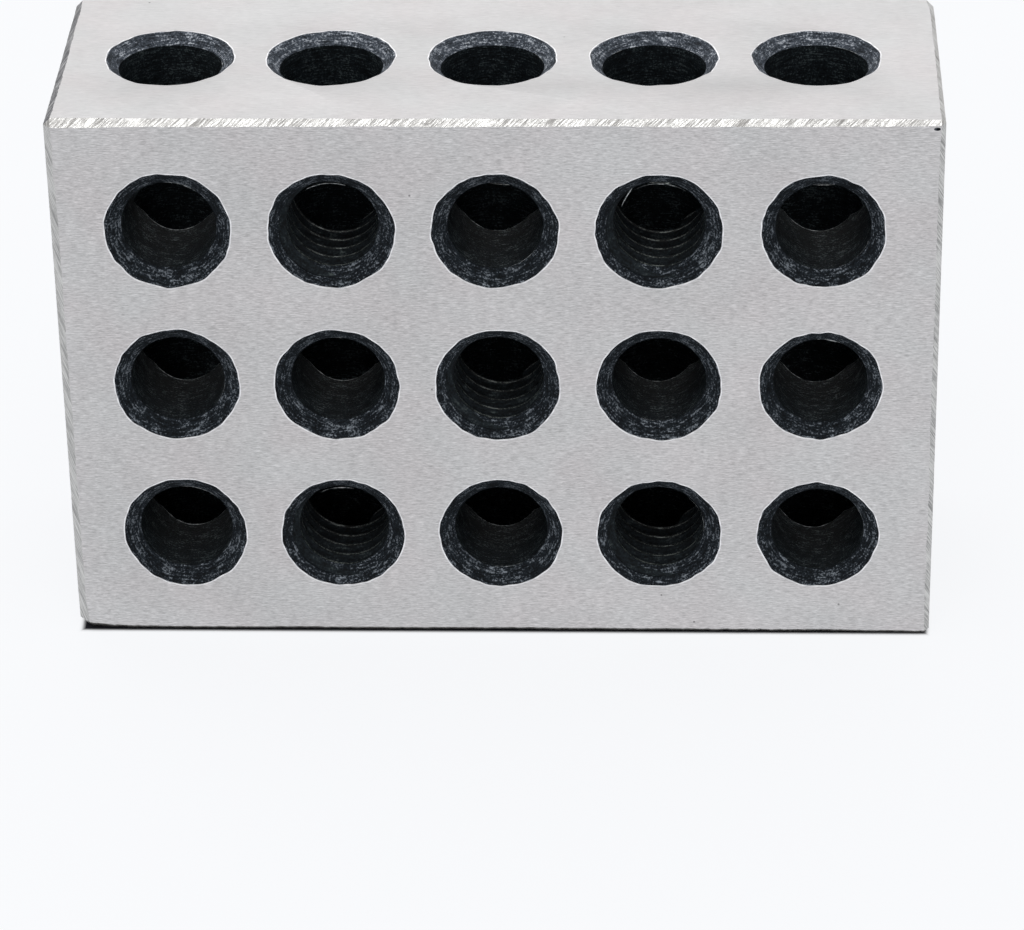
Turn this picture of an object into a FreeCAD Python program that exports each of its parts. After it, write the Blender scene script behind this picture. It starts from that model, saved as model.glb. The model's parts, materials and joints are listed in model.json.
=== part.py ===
"""Machinist's setup block, one, two and three inches on its sides, drilled through on every side.

A real block is one piece of tool steel. It is sawn and milled to size, drilled from three sides,
countersunk at both mouths of every hole, tapped in five of them and hardened. Then it is ground
flat and square, and its corners are broken by hand on a wheel. The three families of holes lie
on the block's middle planes, so they run into each other inside it.

The block stands on a long narrow side. X runs along its three inches, Y through its one inch
and Z up its two inches. The origin is the middle of the side that it stands on. The body is
modelled about its own centre, where its three middle planes meet, and its Placement lifts it.
"""

import os

import FreeCAD, Part
import Sketcher

doc = FreeCAD.newDocument("SetupBlock")


# ---- Sizes, in millimetres and degrees ----

SIZES = (
    # the ground block
    ("block_length", 76.2, "three inches, along X"),
    ("block_width", 25.4, "one inch, along Y"),
    ("block_height", 50.8, "two inches, along Z"),
    ("edge_break", 0.6, "leg of the broken corner on all twelve edges"),
    # the grid of holes through the two broad faces
    ("column_pitch", 14.0, "from column to column, along X"),
    ("row_pitch", 15.0, "from row to row, along Z"),
    ("plain_drill", 8.2, "plain holes between the broad faces"),
    ("thread_major", 9.525, "outside of the three-eighths inch coarse thread"),
    ("thread_pitch", 1.5875, "sixteen threads to the inch"),
    ("face_sink", 10.85, "mouth of the countersinks on the broad faces"),
    # the holes that cross them on the middle plane
    ("upright_drill", 9.0, "holes from the top to the bottom"),
    ("upright_sink", 11.1, "mouth of the countersinks on the top and bottom"),
    ("upright_shift", 0.5, "how far the row of upright holes sits towards -X"),
    ("end_drill", 9.0, "long holes from end to end"),
    ("end_sink", 11.1, "mouth of the countersinks on the ends"),
    # the tool that sinks every mouth
    ("sink_angle", 100.0, "included angle of every countersink"),
)

sheet = doc.addObject("Spreadsheet::Sheet", "Sizes")
for line, (alias, value, meaning) in enumerate(SIZES, start=1):
    sheet.set(f"A{line}", alias)
    sheet.set(f"B{line}", str(value))
    sheet.set(f"C{line}", meaning)
    sheet.setAlias(f"B{line}", alias)
doc.recompute()

# a tap follows a drill that is one pitch smaller than its thread
TAP_DRILL = "Sizes.thread_major - Sizes.thread_pitch"

# columns and rows are counted from the middle of the grid, whose inner diagonals are tapped
COLUMNS = (-2, -1, 0, 1, 2)
ROWS = (-1, 0, 1)
GRID = [(column, row) for row in ROWS for column in COLUMNS]
TAPPED = [(column, row) for column, row in GRID if abs(column) == abs(row)]
PLAIN = [place for place in GRID if place not in TAPPED]
UPRIGHT = [(column, 0) for column in COLUMNS]
ENDWAYS = [(0, row) for row in ROWS]


# ---- The body and what its sketches share ----

body = doc.addObject("PartDesign::Body", "setup_block")
body.Label = "setup_block"
body.setExpression(".Placement.Base.z", "Sizes.block_height / 2")

# how a sketch's constraints name its own axes, its origin and the points of a line or circle
AXIS = {"X": -1, "Y": -2}
ORIGIN = (-1, 1)
POINT = {"start": 1, "end": 2, "centre": 3}


def origin_plane(role):
    """The plane of the body's own origin that has this role."""
    return next(plane for plane in body.Origin.OriginFeatures if plane.Role == role)


def flat_sketch(name, role):
    """An empty sketch on one of the body's middle planes."""
    sketch = body.newObject("Sketcher::SketchObject", name)
    sketch.AttachmentSupport = [(origin_plane(role), "")]
    sketch.MapMode = "FlatFace"
    return sketch


def constrain(sketch, kind, *where):
    """Adds a constraint with no size of its own to a sketch."""
    sketch.addConstraint(Sketcher.Constraint(kind, *where))


def dimension(sketch, expression, kind, *where):
    """Adds a dimension to a sketch and ties it to an expression."""
    value = sketch.evalExpression(expression)
    number = sketch.addConstraint(Sketcher.Constraint(kind, *where, value))
    sketch.setExpression(f"Constraints[{number}]", expression)


# ---- The ground block with its corners broken ----


def outline_of_block():
    """The block seen from above: a rectangle with its middle on the origin."""
    sketch = flat_sketch("block_outline", "XY_Plane")
    corners = [FreeCAD.Vector(*place, 0) for place in ((-1, -1), (1, -1), (1, 1), (-1, 1))]
    front, right, back, left = (
        sketch.addGeometry(Part.LineSegment(start, end), False)
        for start, end in zip(corners, corners[1:] + corners[:1])
    )
    for side, following in ((front, right), (right, back), (back, left), (left, front)):
        constrain(sketch, "Coincident", side, POINT["end"], following, POINT["start"])
    for side in (front, back):
        constrain(sketch, "Horizontal", side)
    for side in (right, left):
        constrain(sketch, "Vertical", side)
    constrain(sketch, "Symmetric", front, POINT["start"], back, POINT["start"], *ORIGIN)
    ends_of_front = (front, POINT["start"], front, POINT["end"])
    dimension(sketch, "Sizes.block_length", "DistanceX", *ends_of_front)
    ends_of_right = (right, POINT["start"], right, POINT["end"])
    dimension(sketch, "Sizes.block_width", "DistanceY", *ends_of_right)
    return sketch


outline = outline_of_block()
blank = body.newObject("PartDesign::Pad", "blank")
blank.Profile = (outline, [""])
blank.SideType = "Symmetric"
blank.setExpression("Length", "Sizes.block_height")
doc.recompute()

broken_corners = body.newObject("PartDesign::Chamfer", "broken_corners")
broken_corners.Base = (blank, [""])
broken_corners.UseAllEdges = True
broken_corners.setExpression("Size", "Sizes.edge_break")
doc.recompute()


# ---- The holes, sunk at both mouths ----


def place_centre(sketch, circle, steps, kind, axis, pitch):
    """Puts a circle's centre a number of pitches to one side of an axis, or for none on it."""
    centre = (circle, POINT["centre"])
    if steps == 0:
        constrain(sketch, "PointOnObject", *centre, axis)
    elif steps > 0:
        dimension(sketch, f"{steps} * {pitch}", kind, *ORIGIN, *centre)
    else:
        dimension(sketch, f"{-steps} * {pitch}", kind, *centre, *ORIGIN)


def mark_out(name, role, half_depth, places, drill):
    """Marks a face out for drilling.

    The sketch lies on the face, half the block's size out from the middle plane that has this
    role. Each place is a pair of counts, of columns across and of rows up, and gets a circle of
    the drill's size.
    """
    sketch = flat_sketch(name, role)
    sketch.setExpression(".AttachmentOffset.Base.z", half_depth)
    for column, row in places:
        start = Part.Circle(FreeCAD.Vector(column, row, 0), FreeCAD.Vector(0, 0, 1), 1)
        circle = sketch.addGeometry(start, False)
        place_centre(sketch, circle, column, "DistanceX", AXIS["Y"], "Sizes.column_pitch")
        place_centre(sketch, circle, row, "DistanceY", AXIS["X"], "Sizes.row_pitch")
        dimension(sketch, drill, "Diameter", circle)
    return sketch


def drill_through(name, marks, drill, sink, middle):
    """Drills through the block at every mark, and sinks both mouths.

    The drill and the countersink go in from the marked face. The same tools mirrored about the
    block's middle plane then sink the mouths on the far side.
    """
    near = body.newObject("PartDesign::Hole", name)
    near.Profile = (marks, [""])
    doc.recompute()
    near.ThreadType = "None"
    near.DepthType = "ThroughAll"
    near.setExpression("Diameter", drill)
    near.HoleCutType = "Countersink"
    near.setExpression("HoleCutDiameter", sink)
    near.setExpression("HoleCutCountersinkAngle", "Sizes.sink_angle")
    doc.recompute()
    far = body.newObject("PartDesign::Mirrored", f"{name}_far_mouths")
    far.Originals = [near]
    far.MirrorPlane = (origin_plane(middle), [""])
    body.Tip = far
    doc.recompute()


# from one broad face to the other
HALF_WIDTH = "Sizes.block_width / 2"
plain_marks = mark_out("plain_marks", "XZ_Plane", HALF_WIDTH, PLAIN, "Sizes.plain_drill")
drill_through("plain_holes", plain_marks, "Sizes.plain_drill", "Sizes.face_sink", "XZ_Plane")
tapped_marks = mark_out("tapped_marks", "XZ_Plane", HALF_WIDTH, TAPPED, TAP_DRILL)
drill_through("tapped_holes", tapped_marks, TAP_DRILL, "Sizes.face_sink", "XZ_Plane")

# from the top to the bottom, with the whole row a little to one side
HALF_HEIGHT = "Sizes.block_height / 2"
upright_marks = mark_out("upright_marks", "XY_Plane", HALF_HEIGHT, UPRIGHT, "Sizes.upright_drill")
upright_marks.setExpression(".AttachmentOffset.Base.x", "-Sizes.upright_shift")
drill_through("upright_holes", upright_marks, "Sizes.upright_drill", "Sizes.upright_sink", "XY_Plane")

# from end to end
HALF_LENGTH = "Sizes.block_length / 2"
end_marks = mark_out("end_marks", "YZ_Plane", HALF_LENGTH, ENDWAYS, "Sizes.end_drill")
drill_through("end_holes", end_marks, "Sizes.end_drill", "Sizes.end_sink", "YZ_Plane")


# ---- Checks, then the file ----

failed = [item.Name for item in doc.Objects if {"Invalid", "Error"} & set(item.State)]
if failed:
    raise RuntimeError(f"features that failed: {failed}")

# a cut that points away from the steel takes nothing off, and shows no error
idle = [
    item.Name
    for item in body.Group
    if getattr(item, "BaseFeature", None)
    and item.Shape.Volume >= item.BaseFeature.Shape.Volume
]
if idle:
    raise RuntimeError(f"features that cut nothing away: {idle}")

if body.Shape.isNull() or not body.Shape.isValid() or len(body.Shape.Solids) != 1:
    raise RuntimeError("the block isn't one sound solid")

os.makedirs("parts", exist_ok=True)
body.Shape.exportStep(f"parts/{body.Label}.step")
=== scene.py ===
"""A machinist's setup block (a 1-2-3 block) of hardened, ground steel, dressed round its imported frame.

The block is one piece of metal, so one closed mesh stands for it: a blank with hand-broken edges, out of
which every hole of the record is cut. Lengths are in millimetres until a mesh is stored, in metres.
"""
import json
import math

import bmesh
import bpy
import numpy as np
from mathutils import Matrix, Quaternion, Vector


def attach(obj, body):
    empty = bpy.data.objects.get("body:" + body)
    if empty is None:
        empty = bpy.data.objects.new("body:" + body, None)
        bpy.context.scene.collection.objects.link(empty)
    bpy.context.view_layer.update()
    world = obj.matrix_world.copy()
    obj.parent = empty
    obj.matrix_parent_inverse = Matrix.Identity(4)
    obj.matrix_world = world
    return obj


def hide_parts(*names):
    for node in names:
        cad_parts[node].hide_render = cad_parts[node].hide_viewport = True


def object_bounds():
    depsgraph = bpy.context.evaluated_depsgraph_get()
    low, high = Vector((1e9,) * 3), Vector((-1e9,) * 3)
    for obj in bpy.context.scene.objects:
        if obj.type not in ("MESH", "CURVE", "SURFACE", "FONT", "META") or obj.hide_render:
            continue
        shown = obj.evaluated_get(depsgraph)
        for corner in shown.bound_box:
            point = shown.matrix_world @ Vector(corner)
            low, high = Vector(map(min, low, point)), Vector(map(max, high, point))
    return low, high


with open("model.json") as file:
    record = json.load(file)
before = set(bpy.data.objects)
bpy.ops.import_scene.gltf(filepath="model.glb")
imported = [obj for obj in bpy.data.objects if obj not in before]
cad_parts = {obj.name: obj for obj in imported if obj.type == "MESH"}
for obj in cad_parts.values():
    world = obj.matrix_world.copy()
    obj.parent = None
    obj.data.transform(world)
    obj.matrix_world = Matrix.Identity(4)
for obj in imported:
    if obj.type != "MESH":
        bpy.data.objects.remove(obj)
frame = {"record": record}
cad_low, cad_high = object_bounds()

# ---------------------------------------------------------------------------------------------------
# Ground faces. The six sides are surface ground on a magnetic chuck after hardening. The wheel leaves
# fine, slightly wavy streaks along the table's travel, over cloudy patches of brighter and duller metal.

MM = 0.001


def node(tree, kind, feeds=None, **settings):
    """Adds a shader node with its settings, and feeds its inputs: a socket is linked, a value is set."""
    made = tree.nodes.new(kind)
    for name, value in settings.items():
        setattr(made, name, value)
    for key, value in (feeds or {}).items():
        if isinstance(value, bpy.types.NodeSocket):
            tree.links.new(value, made.inputs[key])
        else:
            made.inputs[key].default_value = value
    return made


def math_node(tree, operation, *values):
    """The result of a Math node on the values or sockets given."""
    return node(tree, "ShaderNodeMath", dict(enumerate(values)), operation=operation).outputs[0]


def sway_node(tree, value, size):
    """How far a grey value lies above or below a half, times a size."""
    return math_node(tree, "MULTIPLY", math_node(tree, "SUBTRACT", value, 0.5), size)


def vector_node(tree, operation, first, second):
    """The vector result of a Vector Math node on two vectors."""
    return node(tree, "ShaderNodeVectorMath", {0: first, 1: second}, operation=operation).outputs[0]


def noise_node(tree, place, scale, detail=2.0, roughness=0.5, distortion=0.0):
    """The grey value, about 0 to 1, of a Noise Texture read at a place."""
    feeds = {"Vector": place, "Scale": scale, "Detail": detail, "Roughness": roughness,
             "Distortion": distortion}
    return node(tree, "ShaderNodeTexNoise", feeds).outputs["Fac"]


def range_node(tree, value, low, high, new_low=0.0, new_high=1.0):
    """A value carried in a straight line from one range to another, and held at both ends."""
    feeds = {"Value": value, "From Min": low, "From Max": high, "To Min": new_low, "To Max": new_high}
    return node(tree, "ShaderNodeMapRange", feeds, clamp=True).outputs[0]


def mix_node(tree, factor, first, second, blend="MIX"):
    """The colour between two colours."""
    feeds = {0: factor, 6: first, 7: second}
    return node(tree, "ShaderNodeMix", feeds, data_type="RGBA", blend_type=blend).outputs[2]


def shade_node(tree, colour, level):
    """A colour times a level, where 1 leaves it as it is."""
    return node(tree, "ShaderNodeVectorMath", {0: colour, "Scale": level}, operation="SCALE").outputs[0]


def new_group(name, inputs, outputs):
    """A shader node group with named sockets, each given as name: kind. Returns the tree, what its inputs
    bring in and what its outputs take."""
    tree = bpy.data.node_groups.new(name, "ShaderNodeTree")
    for direction, sockets in (("INPUT", inputs), ("OUTPUT", outputs)):
        for socket, kind in sockets.items():
            tree.interface.new_socket(socket, in_out=direction, socket_type="NodeSocket" + kind)
    return tree, tree.nodes.new("NodeGroupInput").outputs, tree.nodes.new("NodeGroupOutput").inputs


def join(tree, pairs):
    """Links each socket to the input beside it."""
    for source, target in pairs:
        tree.links.new(source, target)


def new_finish(name):
    """A material with one Principled shader. Returns the material, its tree and the shader's inputs."""
    made = bpy.data.materials.new(name)
    made.use_nodes = True
    return made, made.node_tree, made.node_tree.nodes["Principled BSDF"].inputs


def place_in_mm(tree):
    """Object coordinates, in millimetres."""
    place = node(tree, "ShaderNodeTexCoord").outputs["Object"]
    return vector_node(tree, "MULTIPLY", place, (1 / MM, 1 / MM, 1 / MM))


def feed_shader(tree, shader, group, feeds, strength, depth):
    """Places a node group in a material and feeds it. Its colour and roughness go to the shader, and its
    height becomes relief of a depth in mm. Returns the group's outputs."""
    outputs = node(tree, "ShaderNodeGroup", feeds, node_tree=group).outputs
    relief = {"Height": outputs["Height"], "Strength": strength, "Distance": depth * MM}
    bump = node(tree, "ShaderNodeBump", relief)
    join(tree, ((outputs["Color"], shader["Base Color"]), (outputs["Roughness"], shader["Roughness"]),
                (bump.outputs[0], shader["Normal"])))
    return outputs


def streaks_group():
    """Grinding streaks: noise read at a place that is squeezed across the streaks and stretched along them,
    in two sizes, over a slow cloud. They scale the metal's own colour up and down. Round the middle of one
    cell in fourteen, where it lies close under the surface, there is a small dark pit."""
    inputs = {"Place": "Vector", "Stretch": "Vector", "Metal": "Color", "Streak": "Float", "Cloud": "Float"}
    outputs = {"Color": "Color", "Roughness": "Float", "Height": "Float"}
    tree, given, result = new_group("grinding_streaks", inputs, outputs)
    stretched = vector_node(tree, "MULTIPLY", given["Place"], given["Stretch"])
    broad = noise_node(tree, stretched, 1.0, detail=3.0, roughness=0.62, distortion=0.35)
    fine = noise_node(tree, stretched, 2.7, detail=2.0, roughness=0.6, distortion=0.2)
    streak = math_node(tree, "ADD", math_node(tree, "MULTIPLY", broad, 0.6),
                       math_node(tree, "MULTIPLY", fine, 0.4))
    cloud = noise_node(tree, given["Place"], 0.11, detail=3.0, roughness=0.55, distortion=0.6)
    both = math_node(tree, "ADD", sway_node(tree, streak, given["Streak"]),
                     sway_node(tree, cloud, given["Cloud"]))
    level = math_node(tree, "ADD", 1.0, both)
    warm = range_node(tree, noise_node(tree, given["Place"], 0.16, detail=1.0), 0.35, 0.65)
    tint = mix_node(tree, warm, (0.99, 1.0, 1.0, 1), (1.0, 0.983, 0.985, 1))
    tinted = mix_node(tree, 1.0, given["Metal"], tint, "MULTIPLY")
    cell = node(tree, "ShaderNodeTexVoronoi", {"Vector": given["Place"], "Scale": 0.7}).outputs
    draw = node(tree, "ShaderNodeSeparateColor", {0: cell["Color"]}).outputs[0]
    chosen = math_node(tree, "GREATER_THAN", draw, 0.93)
    pit = math_node(tree, "MULTIPLY", range_node(tree, cell["Distance"], 0.045, 0.09, 0.6, 0.0), chosen)
    level = math_node(tree, "MULTIPLY", level, math_node(tree, "SUBTRACT", 1.0, pit))
    join(tree, ((shade_node(tree, tinted, level), result["Color"]), (streak, result["Height"]),
                (range_node(tree, streak, 0.3, 0.7, 0.42, 0.32), result["Roughness"])))
    return tree


GRINDING = streaks_group()
BARE_STEEL = (0.568, 0.560, 0.563, 1)


def ground_finish(name, stretch, streak, cloud):
    """Ground steel, with its streaks drawn along the axis that has the smallest stretch."""
    made, tree, shader = new_finish(name)
    feeds = {"Place": place_in_mm(tree), "Stretch": stretch, "Metal": BARE_STEEL, "Streak": streak,
             "Cloud": cloud}
    feed_shader(tree, shader, GRINDING, feeds, strength=0.5, depth=0.004)
    shader["Metallic"].default_value = 1.0
    return made


ground_faces = ground_finish("ground_faces", stretch=(1.2, 10.0, 10.0), streak=2.0, cloud=0.22)
ground_ends = ground_finish("ground_ends", stretch=(10.0, 1.2, 10.0), streak=2.0, cloud=0.22)
ground_top_and_base = ground_finish("ground_top_and_base", stretch=(1.0, 9.0, 9.0), streak=0.6, cloud=0.2)

# ---------------------------------------------------------------------------------------------------
# Broken edges. The twelve edges and eight corners are taken off by hand on a coarse wheel, after the
# faces are ground, so the width wanders, and slanting scratches run across each edge.

EDGE_BREAK = 0.6
TOP_LESS, LEFT_MORE, RIGHT_LESS = 0.11, 0.16, 0.11
SLOW_WANDER, FAST_WANDER = 0.06, 0.045
HEAVY_CORNERS = {(-1, -1, -1): 0.16, (1, 1, 1): 0.25}
CORNER_REACH = 1.5
EDGE_STEP = 0.25
LEAN_ALONG, LEAN_UPRIGHT = 1.0, 1.5
MERGE = 0.001

sides = np.array(cad_high - cad_low) / MM
middle = np.array(cad_low + cad_high) / 2 / MM


def wander(points, longest, shortest, seed):
    """Unevenness of hand work, about -1 to 1: the sum of sine waves through space, each with a random
    direction and start, and with wavelengths spread between the two lengths given."""
    rng = np.random.default_rng(seed)
    count = 9
    directions = rng.normal(size=(3, count))
    directions /= np.linalg.norm(directions, axis=0)
    waves = 2 * math.pi / np.geomspace(longest, shortest, count)
    starts = rng.uniform(0, 2 * math.pi, count)
    return np.sin(points @ (directions * waves) + starts).sum(-1) / math.sqrt(count)


def edge_width(points):
    """How far each face is cut back at a point of a sharp edge. What the top, left and right edges have more
    or less is weighted by the sixth power of how far out the point lies that way, from 0 in the middle to 1,
    and a heavy corner adds a bell curve of its distance."""
    out = points / (sides / 2)
    slow = SLOW_WANDER * wander(points, 30, 4, seed=3)
    fast = FAST_WANDER * wander(points, 1.5, 0.5, seed=4)
    width = EDGE_BREAK * (1 + slow + fast)
    top, left, right = (np.clip(side, 0, 1) ** 6 for side in (out[..., 2], -out[..., 0], out[..., 0]))
    width = width - TOP_LESS * top + LEFT_MORE * left - RIGHT_LESS * right
    for corner, extra in HEAVY_CORNERS.items():
        far = np.linalg.norm(points - np.array(corner) * sides / 2, axis=-1)
        width = width + extra * np.exp(-(far / CORNER_REACH) ** 2)
    return width


def broken_edge(run, first, second):
    """One broken edge, as a strip of quads. The sharp edge runs along axis `run` at the given sides (-1 or
    1) of the other two axes. At each step the strip has one point on either face, cut back by the width
    there. Returns the points (steps, 2, 3) and their marks (steps, 2, 2): distance along, less the lean,
    and across."""
    one, two = [axis for axis in range(3) if axis != run]
    steps = int(sides[run] / EDGE_STEP)
    share = np.linspace(0, 1, steps)
    sharp = np.zeros((steps, 3))
    sharp[:, run] = (share - 0.5) * sides[run]
    sharp[:, one] = first * sides[one] / 2
    sharp[:, two] = second * sides[two] / 2
    width = edge_width(sharp)
    along = width[0] + share * (sides[run] - width[0] - width[-1])
    strip = np.repeat(sharp[:, None], 2, axis=1)
    strip[:, :, run] = (along - sides[run] / 2)[:, None]
    strip[:, 0, two] -= second * width
    strip[:, 1, one] -= first * width
    lean = LEAN_UPRIGHT * first if run == 2 else LEAN_ALONG
    across = np.stack([np.zeros(steps), width * math.sqrt(2)], axis=1)
    return strip, np.stack([along[:, None] - lean * across, across], axis=-1)


def grid_faces(rows, columns, start=0):
    """Quads between neighbours of a grid of points, numbered row by row from `start`."""
    index = start + np.arange(rows * columns).reshape(rows, columns)
    return np.stack([index[:-1, :-1], index[:-1, 1:], index[1:, 1:], index[1:, :-1]], -1).reshape(-1, 4)


def new_piece(name, points, marks, faces, finishes, finish_of_face):
    """Stores a mesh, in metres, in which each point's pair of marks becomes the UV of the corners there."""
    mesh = bpy.data.meshes.new(name)
    mesh.from_pydata((points * MM).tolist(), [], faces)
    layer = mesh.uv_layers.new(name="marks")
    layer.data.foreach_set("uv", marks[np.concatenate(faces)].astype(np.float32).ravel())
    for finish in finishes:
        mesh.materials.append(finish)
    mesh.polygons.foreach_set("material_index", np.asarray(finish_of_face, dtype=np.int32))
    piece = bpy.data.objects.new(name, mesh)
    bpy.context.scene.collection.objects.link(piece)
    return piece


def close_shell(piece, fan=False, finish_of=None):
    """Merges the points where a piece's grids meet, fills the openings that are left, with a fan of triangles
    where asked, and turns every face outwards. `finish_of` picks a new face's finish from its normal."""
    shell = bmesh.new()
    shell.from_mesh(piece.data)
    bmesh.ops.remove_doubles(shell, verts=shell.verts, dist=MERGE * MM)
    filled = bmesh.ops.holes_fill(shell, edges=shell.edges, sides=0)["faces"]
    if fan:
        filled = bmesh.ops.poke(shell, faces=filled)["faces"]
    bmesh.ops.recalc_face_normals(shell, faces=shell.faces)
    for face in filled if finish_of else ():
        face.normal_update()
        face.material_index = finish_of(face.normal)
    shell.to_mesh(piece.data)
    shell.free()


def scratches_group():
    """Coarse wheel scratches across an edge: noise on the marks, squeezed across the scratches. Where it is
    low the metal is dull, where it is high it is bright, and Coarse shifts the balance to dull."""
    inputs = {"Marks": "Vector", "Dull": "Color", "Bright": "Color", "Coarse": "Float"}
    outputs = {"Color": "Color", "Roughness": "Float", "Height": "Float"}
    tree, given, result = new_group("wheel_scratches", inputs, outputs)
    squeezed = vector_node(tree, "MULTIPLY", given["Marks"], (5.0, 0.6, 1.0))
    scratch = noise_node(tree, squeezed, 1.0, detail=3.5, roughness=0.75, distortion=0.15)
    patch = noise_node(tree, vector_node(tree, "MULTIPLY", given["Marks"], (0.5, 0.5, 1.0)), 1.0)
    both = math_node(tree, "ADD", scratch, sway_node(tree, patch, 0.3))
    bright = range_node(tree, math_node(tree, "SUBTRACT", both, given["Coarse"]), 0.38, 0.56)
    join(tree, ((mix_node(tree, bright, given["Dull"], given["Bright"]), result["Color"]),
                (range_node(tree, bright, 0.0, 1.0, 0.5, 0.3), result["Roughness"]),
                (scratch, result["Height"])))
    return tree


SCRATCHES = scratches_group()


def edge_finish(name, dull, bright, coarse):
    """Steel scratched by the wheel that broke its edge."""
    made, tree, shader = new_finish(name)
    marks = node(tree, "ShaderNodeUVMap", uv_map="marks").outputs[0]
    feeds = {"Marks": marks, "Dull": dull, "Bright": bright, "Coarse": coarse}
    feed_shader(tree, shader, SCRATCHES, feeds, strength=1.0, depth=0.06)
    shader["Metallic"].default_value = 1.0
    return made


broken_edges = edge_finish("broken_edges", (0.34, 0.33, 0.32, 1), (0.72, 0.715, 0.70, 1), 0.0)
upright_edges = edge_finish("upright_edges", (0.30, 0.30, 0.30, 1), (0.62, 0.62, 0.61, 1), 0.0)
coarse_edge = edge_finish("coarse_edge", (0.09, 0.09, 0.10, 1), (0.60, 0.60, 0.60, 1), 0.09)

# the first three belong to the ground faces across Y, X and Z
FLAT_FINISHES = (ground_faces, ground_ends, ground_top_and_base, broken_edges, upright_edges, coarse_edge)


def finish_of_face(normal):
    """The number of a ground face's finish, from the axis that the face lies across."""
    return int(np.argmax(np.abs(normal)[[1, 0, 2]]))


def finish_of_edge(run, first, second):
    """The number of a broken edge's finish. The upright edges are duller, and the one at the left of the top
    is the coarsest."""
    on_left_of_top = (run, first, second) == (1, -1, 1)
    finish = upright_edges if run == 2 else coarse_edge if on_left_of_top else broken_edges
    return FLAT_FINISHES.index(finish)


def make_blank():
    """The bar before drilling: twelve broken edges, eight corners cut to meet them, and the six faces."""
    places = [(run, first, second) for run in range(3) for first in (-1, 1) for second in (-1, 1)]
    strips = [broken_edge(*place) for place in places]
    steps = [len(strip) for strip, _ in strips]
    signs = np.stack(np.meshgrid((-1, 1), (-1, 1), (-1, 1)), axis=-1).reshape(8, 1, 3)
    corners = signs * sides / 2
    corners = (corners - signs * (1 - np.eye(3)) * edge_width(corners)[..., None]).reshape(-1, 3)
    points = np.concatenate([strip.reshape(-1, 3) for strip, _ in strips] + [corners])
    marks = np.concatenate([mark.reshape(-1, 2) for _, mark in strips] + [corners[:, :2]])
    starts = np.cumsum([0] + [2 * count for count in steps])
    faces = [face for count, start in zip(steps, starts) for face in grid_faces(count, 2, start)]
    faces += list(starts[-1] + np.arange(24).reshape(8, 3))
    finishes = [finish_of_edge(*place) for place in places] + [FLAT_FINISHES.index(broken_edges)]
    finishes = np.repeat(finishes, [count - 1 for count in steps] + [8])
    blank = new_piece("dressed_setup_block", points + middle, marks, faces, FLAT_FINISHES, finishes)
    close_shell(blank, finish_of=finish_of_face)
    return blank


block = make_blank()

# ---------------------------------------------------------------------------------------------------
# Drilled holes. Ten of the fifteen face holes, the five upright ones and the three endways ones are
# drilled right through and countersunk at both mouths while the steel is soft, so hardening leaves them
# black with scale. Grinding the faces afterwards leaves a bright line round each mouth.

COUNTERSINK_ANGLE = 100
RIM = 0.11
RIM_DEPTH = 0.03
SHALLOW_COLUMN, SHALLOW = "col5", 0.13
CLEAR = 0.2
TURN_STEPS = 120
SINK_RINGS = 4
WAVE = 0.045
CHATTER, MEAN_CHATTER = 0.07, 0.64

CONE = math.tan(math.radians(COUNTERSINK_ANGLE / 2))


def scale_group():
    """Hardening scale on a cut surface: a dark skin with broken streaks left by the tool. Noise read at a
    place that is squeezed along the hole and stretched round it gives the streaks, and a finer even noise
    the grit. Where the two together are high, a fleck of bare metal shows through the skin."""
    inputs = {"Place": "Vector", "Squeeze": "Vector", "Skin": "Color", "Fleck": "Color", "Flecks": "Float"}
    outputs = {"Color": "Color", "Metallic": "Float", "Roughness": "Float", "Height": "Float"}
    tree, given, result = new_group("hardening_scale", inputs, outputs)
    squeezed = vector_node(tree, "MULTIPLY", given["Place"], given["Squeeze"])
    streak = noise_node(tree, squeezed, 1.0, detail=3.0, roughness=0.65, distortion=0.3)
    grit = noise_node(tree, given["Place"], 5.5, detail=2.0, roughness=0.7)
    drift = noise_node(tree, given["Place"], 0.8, detail=1.0)
    worn = math_node(tree, "ADD", math_node(tree, "MULTIPLY", streak, 0.5),
                     math_node(tree, "MULTIPLY", grit, 0.5))
    worn = math_node(tree, "ADD", worn, sway_node(tree, drift, 0.22))
    fleck = range_node(tree, math_node(tree, "ADD", worn, given["Flecks"]), 0.535, 0.625)
    skin = shade_node(tree, given["Skin"], range_node(tree, worn, 0.40, 0.58, 0.4, 2.2))
    join(tree, ((mix_node(tree, fleck, skin, given["Fleck"]), result["Color"]),
                (fleck, result["Metallic"]),
                (range_node(tree, fleck, 0.0, 1.0, 0.62, 0.34), result["Roughness"]),
                (worn, result["Height"])))
    return tree


SCALE = scale_group()
ALONG_X, ALONG_Y, ALONG_Z = (9.0, 0.9, 0.9), (0.9, 9.0, 0.9), (0.9, 0.9, 9.0)


def scale_finish(name, squeeze, skin, fleck, flecks, depth):
    """Black hardening scale over the marks of a cutting tool."""
    made, tree, shader = new_finish(name)
    feeds = {"Place": place_in_mm(tree), "Squeeze": squeeze, "Skin": skin, "Fleck": fleck, "Flecks": flecks}
    outputs = feed_shader(tree, shader, SCALE, feeds, strength=1.0, depth=depth)
    join(tree, ((outputs["Metallic"], shader["Metallic"]),))
    shader["Specular IOR Level"].default_value = 0.12
    return made


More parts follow.
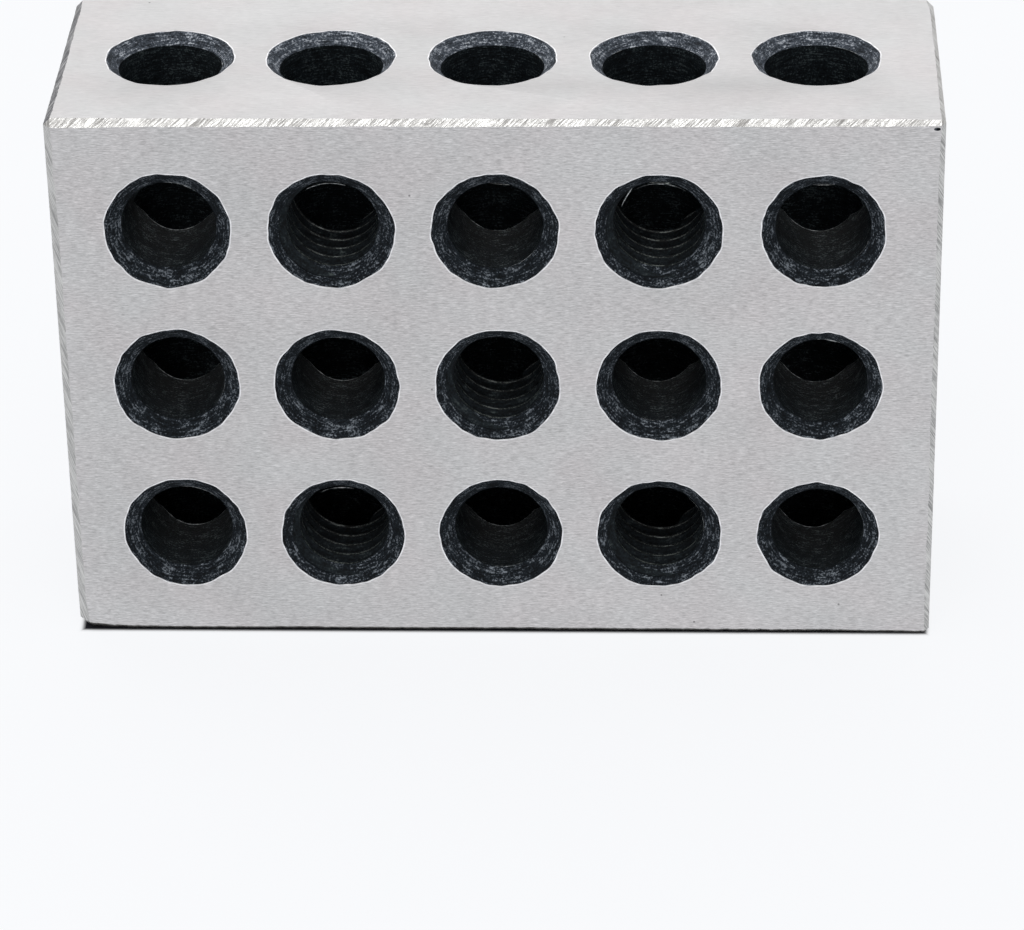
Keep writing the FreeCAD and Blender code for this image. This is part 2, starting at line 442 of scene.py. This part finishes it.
SINK_SKIN, SINK_FLECK = (0.007, 0.010, 0.0135, 1), (0.21, 0.235, 0.265, 1)
BORE_SKIN, BORE_FLECK = (0.005, 0.0075, 0.0095, 1), (0.10, 0.125, 0.13, 1)
# the top's countersinks have the same scale, painted lighter: painted light from the soft box above them
PAINTED_TOP_SKIN, PAINTED_TOP_FLECK = (0.045, 0.054, 0.068, 1), (0.50, 0.53, 0.58, 1)
sink_scale = scale_finish("sink_scale", ALONG_Y, SINK_SKIN, SINK_FLECK, 0.0, 0.22)
end_sink_scale = scale_finish("end_sink_scale", ALONG_X, SINK_SKIN, SINK_FLECK, 0.0, 0.22)
top_sink_scale_painted_light = scale_finish("top_sink_scale_painted_light", ALONG_Z, PAINTED_TOP_SKIN, PAINTED_TOP_FLECK, 0.0, 0.22)
bore_scale = scale_finish("bore_scale", ALONG_Y, BORE_SKIN, BORE_FLECK, -0.01, 0.15)
end_bore_scale = scale_finish("end_bore_scale", ALONG_X, BORE_SKIN, BORE_FLECK, -0.01, 0.15)
upright_bore_scale = scale_finish("upright_bore_scale", ALONG_Z, BORE_SKIN, BORE_FLECK, -0.01, 0.15)


def bare_finish(name, grain, split, dull, bright, roughness):
    """Bare steel that goes from dull to bright with noise, between the two grey values of `split`, and gets
    smoother as it gets brighter."""
    made, tree, shader = new_finish(name)
    noise = noise_node(tree, place_in_mm(tree), grain)
    join(tree, ((mix_node(tree, range_node(tree, noise, *split), dull, bright), shader["Base Color"]),
                (range_node(tree, noise, 0.3, 0.7, *roughness), shader["Roughness"])))
    shader["Metallic"].default_value = 1.0
    return made


bright_rim = bare_finish("bright_rim", grain=1.5, split=(0.35, 0.6), dull=(0.62, 0.62, 0.64, 1),
                         bright=(0.88, 0.88, 0.90, 1), roughness=(0.35, 0.22))


def read_hole(mount):
    """A hole of the record: its right, up and outward directions as the rows of a matrix, the middle of its
    axis, half the block's side along it, and the radii of its bore and of its mouths. The record's length of
    the bore gives their depth. The last column of the broad faces was sunk a little less deep."""
    out = np.array(mount["axis"], dtype=float)
    along = int(np.argmax(np.abs(out)))
    up = np.array((0.0, 1.0, 0.0)) if along == 2 else np.array((0.0, 0.0, 1.0))
    centre = np.array(mount["pos_m"]) / MM
    centre[along] = middle[along]
    bore = mount["dims"]["r_mm"]
    depth = (sides[along] - mount["dims"]["length_mm"]) / 2
    shallow = along == 1 and mount["name"].endswith(SHALLOW_COLUMN)
    mouth = bore + depth * CONE - (SHALLOW if shallow else 0)
    return {"name": mount["name"], "axes": np.stack([np.cross(up, out), up, out]), "centre": centre,
            "half": sides[along] / 2, "bore": bore, "mouth": mouth,
            "along": along, "tapped": mount["kind"] == "threaded_hole"}


holes = [read_hole(mount) for mount in frame["record"]["mounts"]
         if mount["kind"] in ("bore", "threaded_hole")]
turn = np.linspace(0, 1, TURN_STEPS + 1)
swing = np.stack([np.cos(2 * math.pi * turn), np.sin(2 * math.pi * turn)], axis=-1)


def ripple(seed):
    """The wobble of a countersunk rim, in mm, round the turn: waves of 2 to 29 to the turn, the fast ones
    small, each with a random size and start, and the lobes that a chattering tool leaves, 7 to 11 with sharp
    crests, less their mean."""
    rng = np.random.default_rng(seed)
    order = np.arange(2, 30)
    size = WAVE / order ** 0.7 * rng.uniform(0.5, 1.5, len(order))
    start = rng.uniform(0, 2 * math.pi, len(order))
    waves = (size * np.cos(2 * math.pi * turn[:, None] * order + start)).sum(-1)
    lobes = rng.integers(7, 12)
    chatter = np.abs(np.sin(math.pi * lobes * turn + rng.uniform(0, math.pi)))
    return waves + CHATTER * (MEAN_CHATTER - chatter)


def new_cutter(hole, local, marks, finishes, finish_of_row):
    """A closed solid to cut a hole with: a grid of rings and turns in the hole's own directions."""
    rows, columns = local.shape[:2]
    points = local.reshape(-1, 3) @ hole["axes"] + hole["centre"]
    cutter = new_piece("cutter", points, marks.reshape(-1, 2), list(grid_faces(rows, columns)), finishes,
                       np.repeat(finish_of_row, columns - 1))
    close_shell(cutter, fan=True)
    return cutter


def turned_cutter(hole, reach, radius, wobble, seed, finishes, finish_of_row):
    """A solid turned about the hole's axis: ring j stands at reach[j] along it and has the radius
    radius[j] + wobble[j] * ripple. Its marks are turns, and distance along the axis."""
    swung = radius[:, None] + wobble[:, None] * ripple(seed)
    along = np.broadcast_to(reach[:, None], swung.shape)
    local = np.concatenate([swung[..., None] * swing, along[..., None]], axis=-1)
    marks = np.stack([np.broadcast_to(turn, swung.shape), along], axis=-1)
    return new_cutter(hole, local, marks, finishes, finish_of_row)


def mouth_rings(hole, inner):
    """One mouth's rings from radius `inner` outwards: the cone in a few steps, the bright rim, cut much
    flatter, and the rim's slope carried clear of the face. Returns reach, radius and wobble."""
    radius = np.linspace(inner, hole["mouth"], SINK_RINGS + 1)
    reach = hole["half"] - RIM_DEPTH - (hole["mouth"] - radius) / CONE
    clear_of_rim = hole["mouth"] + RIM + CLEAR * RIM / RIM_DEPTH
    wobble = np.linspace(0, 1, SINK_RINGS + 1)
    return np.append(reach, hole["half"] + CLEAR), np.append(radius, clear_of_rim), np.append(wobble, 1)


# wall and countersink of the holes along X, Y and Z
WALL_AND_SINK = ((end_bore_scale, end_sink_scale), (bore_scale, sink_scale),
                 (upright_bore_scale, top_sink_scale_painted_light))
BOTH_MOUTHS = [2] + [1] * SINK_RINGS + [0] + [1] * SINK_RINGS + [2]

cutters = []
for seed, hole in enumerate(holes):
    if not hole["tapped"]:
        reach, radius, wobble = mouth_rings(hole, hole["bore"])
        pairs = ((-reach, reach), (radius, radius), (wobble, wobble))
        rings = [np.append(far[::-1], near) for far, near in pairs]
        finishes = (*WALL_AND_SINK[hole["along"]], bright_rim)
        cutters.append(turned_cutter(hole, *rings, seed, finishes, BOTH_MOUTHS))

# ---------------------------------------------------------------------------------------------------
# Tapped holes. The five holes on the inner diagonals are tapped 3/8-16 right through, before hardening.
# The thread runs out into the countersinks, and its crests carry a painted highlight, brighter than the
# flanks.

THREAD_MAJOR = 9.525 / 2
THREAD_PITCH = 25.4 / 16
FLANK_ANGLE = 60
ROOT_FLAT = THREAD_PITCH / 8
THREAD_START = -0.25
THREAD_OVERRUN = 2.4
HIGHLIGHT_BAND = 0.2
SINK_POINT = 3.2

# the crests' colours are a painted highlight: lighter copies of the scale in the bore
PAINTED_CREST_SKIN, PAINTED_CREST_FLECK = (0.02, 0.026, 0.025, 1), (0.34, 0.38, 0.36, 1)
thread_scale = scale_finish("thread_scale", ALONG_Y, BORE_SKIN, (0.05, 0.06, 0.06, 1), -0.03, 0.08)
thread_crests_painted_highlight = scale_finish("thread_crests_painted_highlight", ALONG_Y, PAINTED_CREST_SKIN, PAINTED_CREST_FLECK, 0.04, 0.05)


def thread_cutter(hole):
    """A helical solid: over one pitch the profile goes along the crest flat, out along a flank to the root
    flat and back along the other, and round the turn it moves along by one pitch, so the last column meets
    the first, one pitch on. The middle of the crest has its own finish, a painted highlight. Its marks are
    turns, and distance along."""
    flank = (THREAD_MAJOR - hole["bore"]) * math.tan(math.radians(FLANK_ANGLE / 2))
    shoulder = (THREAD_PITCH - ROOT_FLAT - 2 * flank - HIGHLIGHT_BAND) / 2
    corner = np.cumsum([0, shoulder, HIGHLIGHT_BAND, shoulder, flank, ROOT_FLAT])
    turns = math.ceil(2 * (hole["half"] + THREAD_OVERRUN) / THREAD_PITCH)
    reach = (np.arange(turns)[:, None] * THREAD_PITCH + corner).ravel() - (turns + 1) * THREAD_PITCH / 2
    radius = np.tile([hole["bore"]] * 4 + [THREAD_MAJOR] * 2, turns)
    along = reach[:, None] + THREAD_PITCH * (turn + THREAD_START)
    local = np.concatenate([radius[:, None, None] * swing, along[..., None]], axis=-1)
    marks = np.stack([np.broadcast_to(turn, along.shape), along], axis=-1)
    finish_of_row = np.tile([0, 1, 0, 0, 0, 0], turns)[:-1]
    return new_cutter(hole, local, marks, (thread_scale, thread_crests_painted_highlight), finish_of_row)


for seed, hole in enumerate(holes):
    if hole["tapped"]:
        cutters.append(thread_cutter(hole))
        reach, radius, wobble = mouth_rings(hole, SINK_POINT)
        for side in (-1, 1):
            cutters.append(turned_cutter(hole, side * reach, radius, wobble, seed, (sink_scale, bright_rim),
                                         [0] * SINK_RINGS + [1]))

# ---------------------------------------------------------------------------------------------------
# The cut. Every hole is taken out of the blank at once, and with them a small nick that a knock left in
# the front edge, near the right end of the top. The flat faces stay flat, and the walls of the holes are
# shaded round, with sharp edges where two walls meet.

SHARP_ANGLE = 28
NICK_PLACE = (37.35, -12.75, 50.1)
NICK_SIZE = (0.30, 0.20, 0.16)
NICK_RINGS = 7


def nick_cutter():
    """A small egg: at the angle a up from its lower tip a ring has the radius sin a and stands at -cos a, and
    the nick's size is what both are multiplied by, along each axis."""
    angle = np.linspace(0, math.pi, NICK_RINGS)[:, None]
    right, deep, up = np.sin(angle) * swing[:, 0], np.sin(angle) * swing[:, 1], -np.cos(angle)
    egg = np.stack(np.broadcast_arrays(right, deep, up), axis=-1) * NICK_SIZE
    place = {"axes": np.eye(3), "centre": np.array(NICK_PLACE)}
    return new_cutter(place, egg, egg[..., :2], (sink_scale,), np.zeros(NICK_RINGS - 1))


def cut_block(blank, cutters):
    """Cuts all the cutters out of the blank, stores the result as its mesh and removes the cutters."""
    tools = bpy.data.collections.new("cutters")
    for cutter in cutters:
        tools.objects.link(cutter)
    cut = blank.modifiers.new("holes", "BOOLEAN")
    cut.operation = "DIFFERENCE"
    cut.solver = "MANIFOLD"
    cut.material_mode = "TRANSFER"
    cut.operand_type = "COLLECTION"
    cut.collection = tools
    solid = bpy.data.meshes.new_from_object(blank.evaluated_get(bpy.context.evaluated_depsgraph_get()))
    blank.modifiers.clear()
    blank.data = solid
    solid.name = blank.name
    for cutter in cutters:
        bpy.data.objects.remove(cutter)
    bpy.data.collections.remove(tools)
    flat = [solid.materials.find(finish.name) for finish in FLAT_FINISHES]
    finish = np.zeros(len(solid.polygons), dtype=np.int32)
    solid.polygons.foreach_get("material_index", finish)
    solid.polygons.foreach_set("use_smooth", ~np.isin(finish, flat))
    solid.set_sharp_from_angle(angle=math.radians(SHARP_ANGLE))


cut_block(block, cutters + [nick_cutter()])
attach(block, "root")
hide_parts("setup_block")

# ---------------------------------------------------------------------------------------------------
# Torn edges. A drill tears a thin burr where it breaks into a crossing hole, and a countersink leaves one
# at its inner lip. They are rubbed off by hand before hardening, but thin threads of steel stay here and
# there, and one stands out as a whisker.

EDGE_BURR = 0.032
LOWER_WALL = (200, 340)
BURR_SIDES = 5
BURR_STEPS = 48
# the least and the most of a small burr's start and length, in degrees, and of its thickness
SMALL_BURRS = (0, 15, 0.015), (360, 60, 0.04)
# the start and the end of a heavy burr, in degrees, and its thickness
HEAVY_BURRS = {"plain_hole_row1_col1": (52, 94, 0.075), "tapped_hole_row1_col4": (56, 122, 0.06),
               "tapped_hole_row1_col2": (70, 128, 0.05), "plain_hole_row2_col5": (60, 95, 0.05),
               "tapped_hole_row3_col2": (75, 120, 0.05), "upright_hole_col1": (-20, 14, 0.08)}
WHISKER_HOLE = "tapped_hole_row1_col4"
WHISKER = ((-2.0, 3.95), (-2.85, 3.05), (-3.2, 1.78))
WHISKER_BOW = 0.25
WHISKER_THICKNESS = 0.055

torn_steel = bare_finish("torn_steel", grain=4.0, split=(0.38, 0.62), dull=(0.10, 0.115, 0.12, 1),
                         bright=(0.50, 0.52, 0.53, 1), roughness=(0.45, 0.3))


def burr_tube(hole, path, thickness, seed):
    """A thin closed thread along a path in a hole's own directions. With s from 0 to 1 along it, its radius
    is the thickness times sqrt(sin(pi s)), times a patchy wave, and it is swept square to the path."""
    path = path @ hole["axes"] + hole["centre"]
    share = np.linspace(0, 1, len(path))
    patchy = np.clip(0.6 + 0.5 * wander(path, 4, 0.5, seed), 0.12, 1.3)
    radius = thickness * np.sqrt(np.clip(np.sin(math.pi * share), 0, 1)) * patchy
    ahead = np.gradient(path, axis=0)
    ahead /= np.linalg.norm(ahead, axis=1)[:, None]
    first = np.cross(ahead, hole["axes"][2] + 0.01)
    first /= np.linalg.norm(first, axis=1)[:, None]
    second = np.cross(ahead, first)
    around = np.linspace(0, 2 * math.pi, BURR_SIDES + 1)[:, None]
    square = np.cos(around) * first[:, None] + np.sin(around) * second[:, None]
    return path[:, None] + radius[:, None, None] * square


def arc(radius, reach, start, end):
    """An arc about a hole's axis, between two angles in degrees."""
    angle = np.radians(np.linspace(start, end, BURR_STEPS))
    reach = np.broadcast_to(reach, angle.shape)
    return np.stack([radius * np.cos(angle), radius * np.sin(angle), reach], axis=-1)


def crossing_edge(hole, start, end):
    """The edge where a face hole's wall first meets a crossing hole. At the angle a the wall stands at
    r cos a and r sin a. The nearest upright hole, of radius R at the distance c to the side, cuts it at the
    reach sqrt(R^2 - (r cos a - c)^2), and an endways one of the same radius at sqrt(R^2 - (r sin a)^2). The
    reach that is farther out counts."""
    uprights = [other for other in holes if other["along"] == 2]
    upright = min(uprights, key=lambda other: abs(other["centre"][0] - hole["centre"][0]))
    edge = arc(hole["bore"], 0.0, start, end)
    aside = upright["centre"][0] - hole["centre"][0]
    by_upright = np.sqrt(np.clip(upright["bore"] ** 2 - (edge[:, 0] - aside) ** 2, 0, None))
    by_endways = np.sqrt(upright["bore"] ** 2 - edge[:, 1] ** 2)
    edge[:, 2] = np.maximum(by_upright, by_endways)
    return edge


def whisker_path(lip):
    """A curve that bends from one place to another past a third, with s from 0 to 1 along it: (1 - s)^2 times
    the first, 2 s (1 - s) times the middle and s^2 times the last. It bows outwards by a sine."""
    share = np.linspace(0, 1, BURR_STEPS)[:, None]
    start, bend, end = np.array(WHISKER)
    flat = (1 - share) ** 2 * start + 2 * share * (1 - share) * bend + share ** 2 * end
    return np.concatenate([flat, lip + WHISKER_BOW * np.sin(math.pi * share)], axis=1)


def burrs_of(hole, seed, rng):
    """The burrs of one hole: one at each inner lip, one at each edge of a plain face hole's crossing, and the
    whisker in the hole that has it."""
    lip = hole["half"] - RIM_DEPTH - (hole["mouth"] - hole["bore"]) / CONE
    tubes = []
    for side in (-1, 1):
        start, span, thickness = rng.uniform(*SMALL_BURRS)
        end = start + span
        if side == 1 and hole["name"] in HEAVY_BURRS:
            start, end, thickness = HEAVY_BURRS[hole["name"]]
        tubes.append(burr_tube(hole, arc(hole["bore"], side * lip, start, end), thickness, seed))
        if hole["along"] == 1 and not hole["tapped"]:
            edge = crossing_edge(hole, *LOWER_WALL) * (1, 1, side)
            tubes.append(burr_tube(hole, edge, EDGE_BURR, seed))
    if hole["name"] == WHISKER_HOLE:
        tubes.append(burr_tube(hole, whisker_path(lip), WHISKER_THICKNESS, seed))
    return tubes


def make_burrs():
    """All the burrs, as one piece."""
    rng = np.random.default_rng(11)
    tubes = [tube for seed, hole in enumerate(holes) for tube in burrs_of(hole, seed, rng)]
    points = np.concatenate([tube.reshape(-1, 3) for tube in tubes])
    starts = np.arange(len(tubes)) * BURR_STEPS * (BURR_SIDES + 1)
    faces = [face for start in starts for face in grid_faces(BURR_STEPS, BURR_SIDES + 1, start)]
    burrs = new_piece("torn_burrs", points, points[:, :2], faces, (torn_steel,), np.zeros(len(faces)))
    close_shell(burrs)
    return burrs


burrs = make_burrs()
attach(burrs, "root")

# ---------------------------------------------------------------------------------------------------
# Studio. A white paper sweep under and behind the block, with a painted shadow, near black, right under
# it, a plain white surround, one soft box above and in front, one wide panel behind, and a long lens
# looking down at the front face.

SWEEP_REACH = 3.0
SURROUND = 0.75

floor_finish, tree, shader = new_finish("white_paper")
shader["Roughness"].default_value = 0.9
shader["Specular IOR Level"].default_value = 0.0
place = node(tree, "ShaderNodeSeparateXYZ", {0: place_in_mm(tree)}).outputs
outside = [math_node(tree, "SUBTRACT", math_node(tree, "ABSOLUTE", place[axis]), float(sides[axis] / 2))
           for axis in (0, 1)]
beside = math_node(tree, "MAXIMUM", *outside)
# painted shadow: the paper's own colour goes near black under the block's foot, where the overhang is in
# shade
outside_painted_shadow = range_node(tree, beside, -0.45, -0.05)
paper_with_painted_shadow = mix_node(tree, outside_painted_shadow, (0.02, 0.02, 0.025, 1), (0.92, 0.93, 0.95, 1))

# what is seen straight or in a reflection is paper that is lit evenly, from the block's foot outwards
ray = node(tree, "ShaderNodeLightPath").outputs
seen = math_node(tree, "MAXIMUM", ray["Is Camera Ray"], ray["Is Glossy Ray"])
seen = math_node(tree, "MAXIMUM", seen, ray["Is Transmission Ray"])
clear_of = range_node(tree, beside, -0.25, 0.15, 0.0, 0.86)
white = node(tree, "ShaderNodeEmission", {"Color": (0.97, 0.98, 1.0, 1), "Strength": 1.0})
blend = node(tree, "ShaderNodeMixShader", {0: math_node(tree, "MULTIPLY", seen, clear_of)})
join(tree, ((paper_with_painted_shadow, shader["Base Color"]), (tree.nodes["Principled BSDF"].outputs[0], blend.inputs[1]),
            (white.outputs[0], blend.inputs[2]),
            (blend.outputs[0], tree.nodes["Material Output"].inputs["Surface"])))

floor_mesh = bpy.data.meshes.new("paper_sweep")
floor_corners = [(SWEEP_REACH * x, SWEEP_REACH * y, 0) for x, y in ((-1, -1), (1, -1), (1, 1), (-1, 1))]
floor_mesh.from_pydata(floor_corners, [], [(0, 1, 2, 3)])
floor_mesh.materials.append(floor_finish)
paper_sweep = bpy.data.objects.new("paper_sweep", floor_mesh)
bpy.context.scene.collection.objects.link(paper_sweep)

world = bpy.data.worlds.new("white_surround")
world.use_nodes = True
background = world.node_tree.nodes["Background"].inputs
background["Color"].default_value = (1.0, 1.0, 1.0, 1)
background["Strength"].default_value = SURROUND
bpy.context.scene.world = world


def direction(azimuth, elevation):
    """The direction out from the block. Azimuth 0 is in front, 90 to the right."""
    around, rise = math.radians(azimuth), math.radians(elevation)
    return Vector((math.sin(around) * math.cos(rise), -math.cos(around) * math.cos(rise), math.sin(rise)))


def soft_box(name, azimuth, elevation, distance, width, height, radiance):
    """A rectangular lamp that faces the block's middle. Its power is the radiance times pi times its area."""
    lamp = bpy.data.lights.new(name, "AREA")
    lamp.shape = "RECTANGLE"
    lamp.size, lamp.size_y = width, height
    lamp.energy = radiance * math.pi * width * height
    away = direction(azimuth, elevation)
    box = bpy.data.objects.new(name, lamp)
    box.location = Vector(middle) * MM + away * distance
    box.rotation_euler = away.to_track_quat("Z", "Y").to_euler()
    bpy.context.scene.collection.objects.link(box)


soft_box("front_soft_box", -4, 62, 0.9, 0.40, 0.3, 3.8)
soft_box("back_panel", 202, 33, 1.2, 1.6, 0.8, 0.62)

AIM = Vector((1.104, float(-sides[1] / 2), 17.426)) * MM
VIEW_AZIMUTH, VIEW_ELEVATION, VIEW_ROLL = 2.587, 30.029, -1.0875
VIEW_DISTANCE = 0.39729
LENS = 159.12

lens = bpy.data.cameras.new("camera")
lens.lens = LENS
lens.sensor_width = 36
lens.sensor_fit = "HORIZONTAL"
lens.clip_start = 0.01
camera = bpy.data.objects.new("camera", lens)
away = direction(VIEW_AZIMUTH, VIEW_ELEVATION)
camera.location = AIM + away * VIEW_DISTANCE
camera.rotation_mode = "QUATERNION"
camera.rotation_quaternion = away.to_track_quat("Z", "Y") @ Quaternion((0, 0, 1), math.radians(VIEW_ROLL))
bpy.context.scene.collection.objects.link(camera)
bpy.context.scene.camera = camera

bpy.context.scene.view_settings.view_transform = "Standard"
